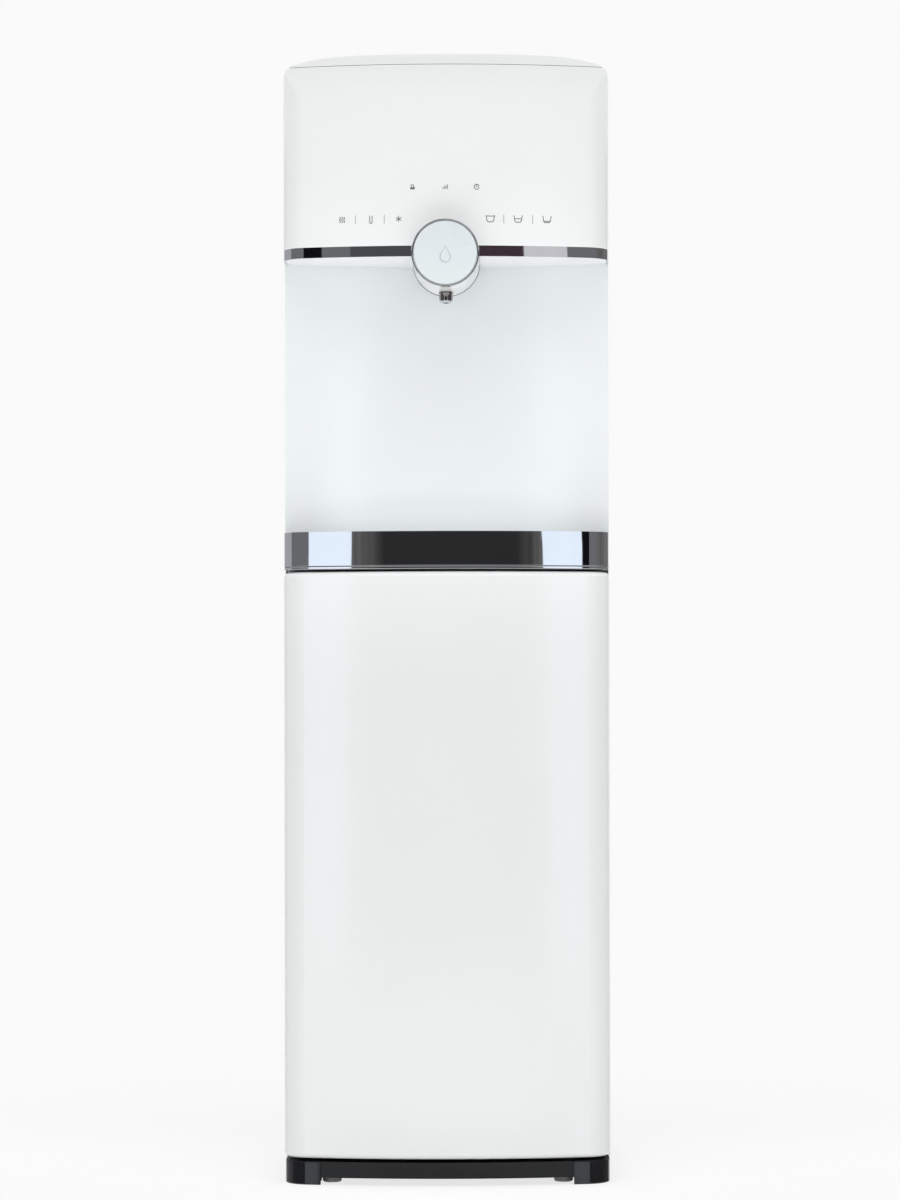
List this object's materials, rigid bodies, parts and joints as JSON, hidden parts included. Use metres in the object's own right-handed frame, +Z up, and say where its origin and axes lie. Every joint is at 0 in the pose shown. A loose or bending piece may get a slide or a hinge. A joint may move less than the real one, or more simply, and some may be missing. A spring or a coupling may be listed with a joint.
{
  "type": "point-of-use water cooler",
  "caption": "Tall white plumbed water cooler with a rounded head, push knob over a nozzle, open alcove, pull-out drip tray, hinged filter door and rear condenser.",
  "frame": {"origin": "on the floor, in the middle of the outline", "axes": "+Z up, -Y towards the front, +X to the right of someone facing the front"},
  "size_m": [0.31, 0.363, 1.076],
  "materials": {
    "white_abs": "injection-moulded gloss white ABS",
    "white_steel": "powder-coated white steel sheet",
    "galvanised": "galvanised steel sheet",
    "chrome_trim": "dark chrome plating",
    "lens": "pale back-painted clear lens",
    "black_matt": "fine-textured black plastic",
    "black_gloss": "polished black plastic",
    "grille_grey": "grey plastic with a fine texture",
    "foam": "moulded foam insulation",
    "stainless": "stainless steel",
    "black_paint": "black painted steel",
    "copper": "bare copper tube",
    "rubber": "black rubber",
    "cartridge": "white polypropylene",
    "board": "green printed circuit board",
    "hose": "polyethylene tube",
    "steel": "zinc-plated steel",
    "hot_rocker": "red rocker",
    "cold_rocker": "green rocker",
    "grey_plastic": "grey plastic"
  },
  "bodies": {
    "cabinet": {"base_tray": "black_matt", "corner_shoes": "black_gloss", "side_panel_left": "white_steel", "side_panel_right": "white_steel", "rear_panel": "galvanised", "rear_grille": "galvanised", "bulkhead": "white_steel", "mid_deck": "galvanised", "tank_shelf": "galvanised", "alcove_panel": "white_abs", "tray_shelf": "white_abs", "door_magnet": "black_matt", "hinge_brackets": "galvanised", "head_hood": "white_abs", "top_cover": "white_abs", "head_trim": "chrome_trim", "head_underside": "white_abs", "touch_board": "board", "dispenser_housing": "white_abs", "button_bezel": "chrome_trim", "button_spring": "steel", "button_sensor": "board", "nozzle": "chrome_trim", "dispense_valves": "black_matt", "cold_tank": "stainless", "evaporator_coil": "copper", "cold_insulation": "foam", "hot_tank": "stainless", "compressor_mounts": "rubber", "compressor": "black_paint", "filter_dryer": "copper", "refrigerant_lines": "copper", "condenser_tube": "black_paint", "condenser_wires": "black_paint", "filter_manifold": "grey_plastic", "control_box": "black_matt", "switch_bodies": "black_matt", "mains_inlet": "black_matt", "rear_fittings": "grey_plastic", "water_hoses": "hose", "screws": "steel"},
    "door": {"door_panel": "white_abs", "door_liner": "white_abs", "strike_plate": "steel"},
    "tray": {"drip_tray": "white_abs", "tray_band": "chrome_trim"},
    "grille": {"drip_grille": "grille_grey"},
    "push_button": {"button_lens": "lens", "button_carrier": "white_abs"},
    "sediment_cartridge": {"filter_cartridge_sediment": "cartridge"},
    "carbon_cartridge": {"filter_cartridge_carbon": "cartridge"},
    "membrane_cartridge": {"filter_cartridge_membrane": "cartridge"},
    "hot_rocker": {"hot_switch": "hot_rocker"},
    "cold_rocker": {"cold_switch": "cold_rocker"},
    "drain_plug": {"drain_cap": "black_matt"},
    "foot_front_left": {"levelling_foot_front_left": "grey_plastic"},
    "foot_front_right": {"levelling_foot_front_right": "grey_plastic"},
    "foot_rear_left": {"levelling_foot_rear_left": "grey_plastic"},
    "foot_rear_right": {"levelling_foot_rear_right": "grey_plastic"}
  },
  "joints": [
    {"name": "door_hinge", "type": "hinge", "parent": "cabinet", "child": "door", "pos_m": [-0.147, -0.1165, 0.3], "axis": [0, 0, -1], "range_deg": [0, 105]},
    {"name": "tray_slide", "type": "slide", "parent": "cabinet", "child": "tray", "axis": [0, -1, 0], "range_m": [0, 0.07]},
    {"name": "grille_lift", "type": "slide", "parent": "tray", "child": "grille", "axis": [0, 0, 1], "range_m": [0, 0.03]},
    {"name": "button_push", "type": "slide", "parent": "cabinet", "child": "push_button", "axis": [0, 1, 0], "range_m": [0, 0.0025], "stiffness_N_per_m": 600, "springref_m": -0.001, "deforming": ["button_spring"]},
    {"name": "sediment_twist", "type": "hinge", "parent": "cabinet", "child": "sediment_cartridge", "pos_m": [-0.084, -0.0625, 0.3], "axis": [0, 0, -1], "range_deg": [0, 90]},
    {"name": "carbon_twist", "type": "hinge", "parent": "cabinet", "child": "carbon_cartridge", "pos_m": [0, -0.0625, 0.3], "axis": [0, 0, -1], "range_deg": [0, 90]},
    {"name": "membrane_twist", "type": "hinge", "parent": "cabinet", "child": "membrane_cartridge", "pos_m": [0.084, -0.0625, 0.3], "axis": [0, 0, -1], "range_deg": [0, 90]},
    {"name": "hot_switch_rock", "type": "hinge", "parent": "cabinet", "child": "hot_rocker", "pos_m": [-0.058, 0.1595, 0.536], "axis": [1, 0, 0], "range_deg": [-16, 0]},
    {"name": "cold_switch_rock", "type": "hinge", "parent": "cabinet", "child": "cold_rocker", "pos_m": [-0.032, 0.1595, 0.536], "axis": [1, 0, 0], "range_deg": [-16, 0]},
    {"name": "drain_cap_turn", "type": "hinge", "parent": "cabinet", "child": "drain_plug", "pos_m": [0.092, 0.1715, 0.262], "axis": [0, 1, 0], "continuous": true},
    {"name": "foot_front_left_turn", "type": "hinge", "parent": "cabinet", "child": "foot_front_left", "pos_m": [-0.11, -0.1245, 0.01], "axis": [0, 0, 1], "continuous": true},
    {"name": "foot_front_right_turn", "type": "hinge", "parent": "cabinet", "child": "foot_front_right", "pos_m": [0.11, -0.1245, 0.01], "axis": [0, 0, 1], "continuous": true},
    {"name": "foot_rear_left_turn", "type": "hinge", "parent": "cabinet", "child": "foot_rear_left", "pos_m": [-0.128, 0.1355, 0.01], "axis": [0, 0, 1], "continuous": true},
    {"name": "foot_rear_right_turn", "type": "hinge", "parent": "cabinet", "child": "foot_rear_right", "pos_m": [0.128, 0.1355, 0.01], "axis": [0, 0, 1], "continuous": true}
  ]
}
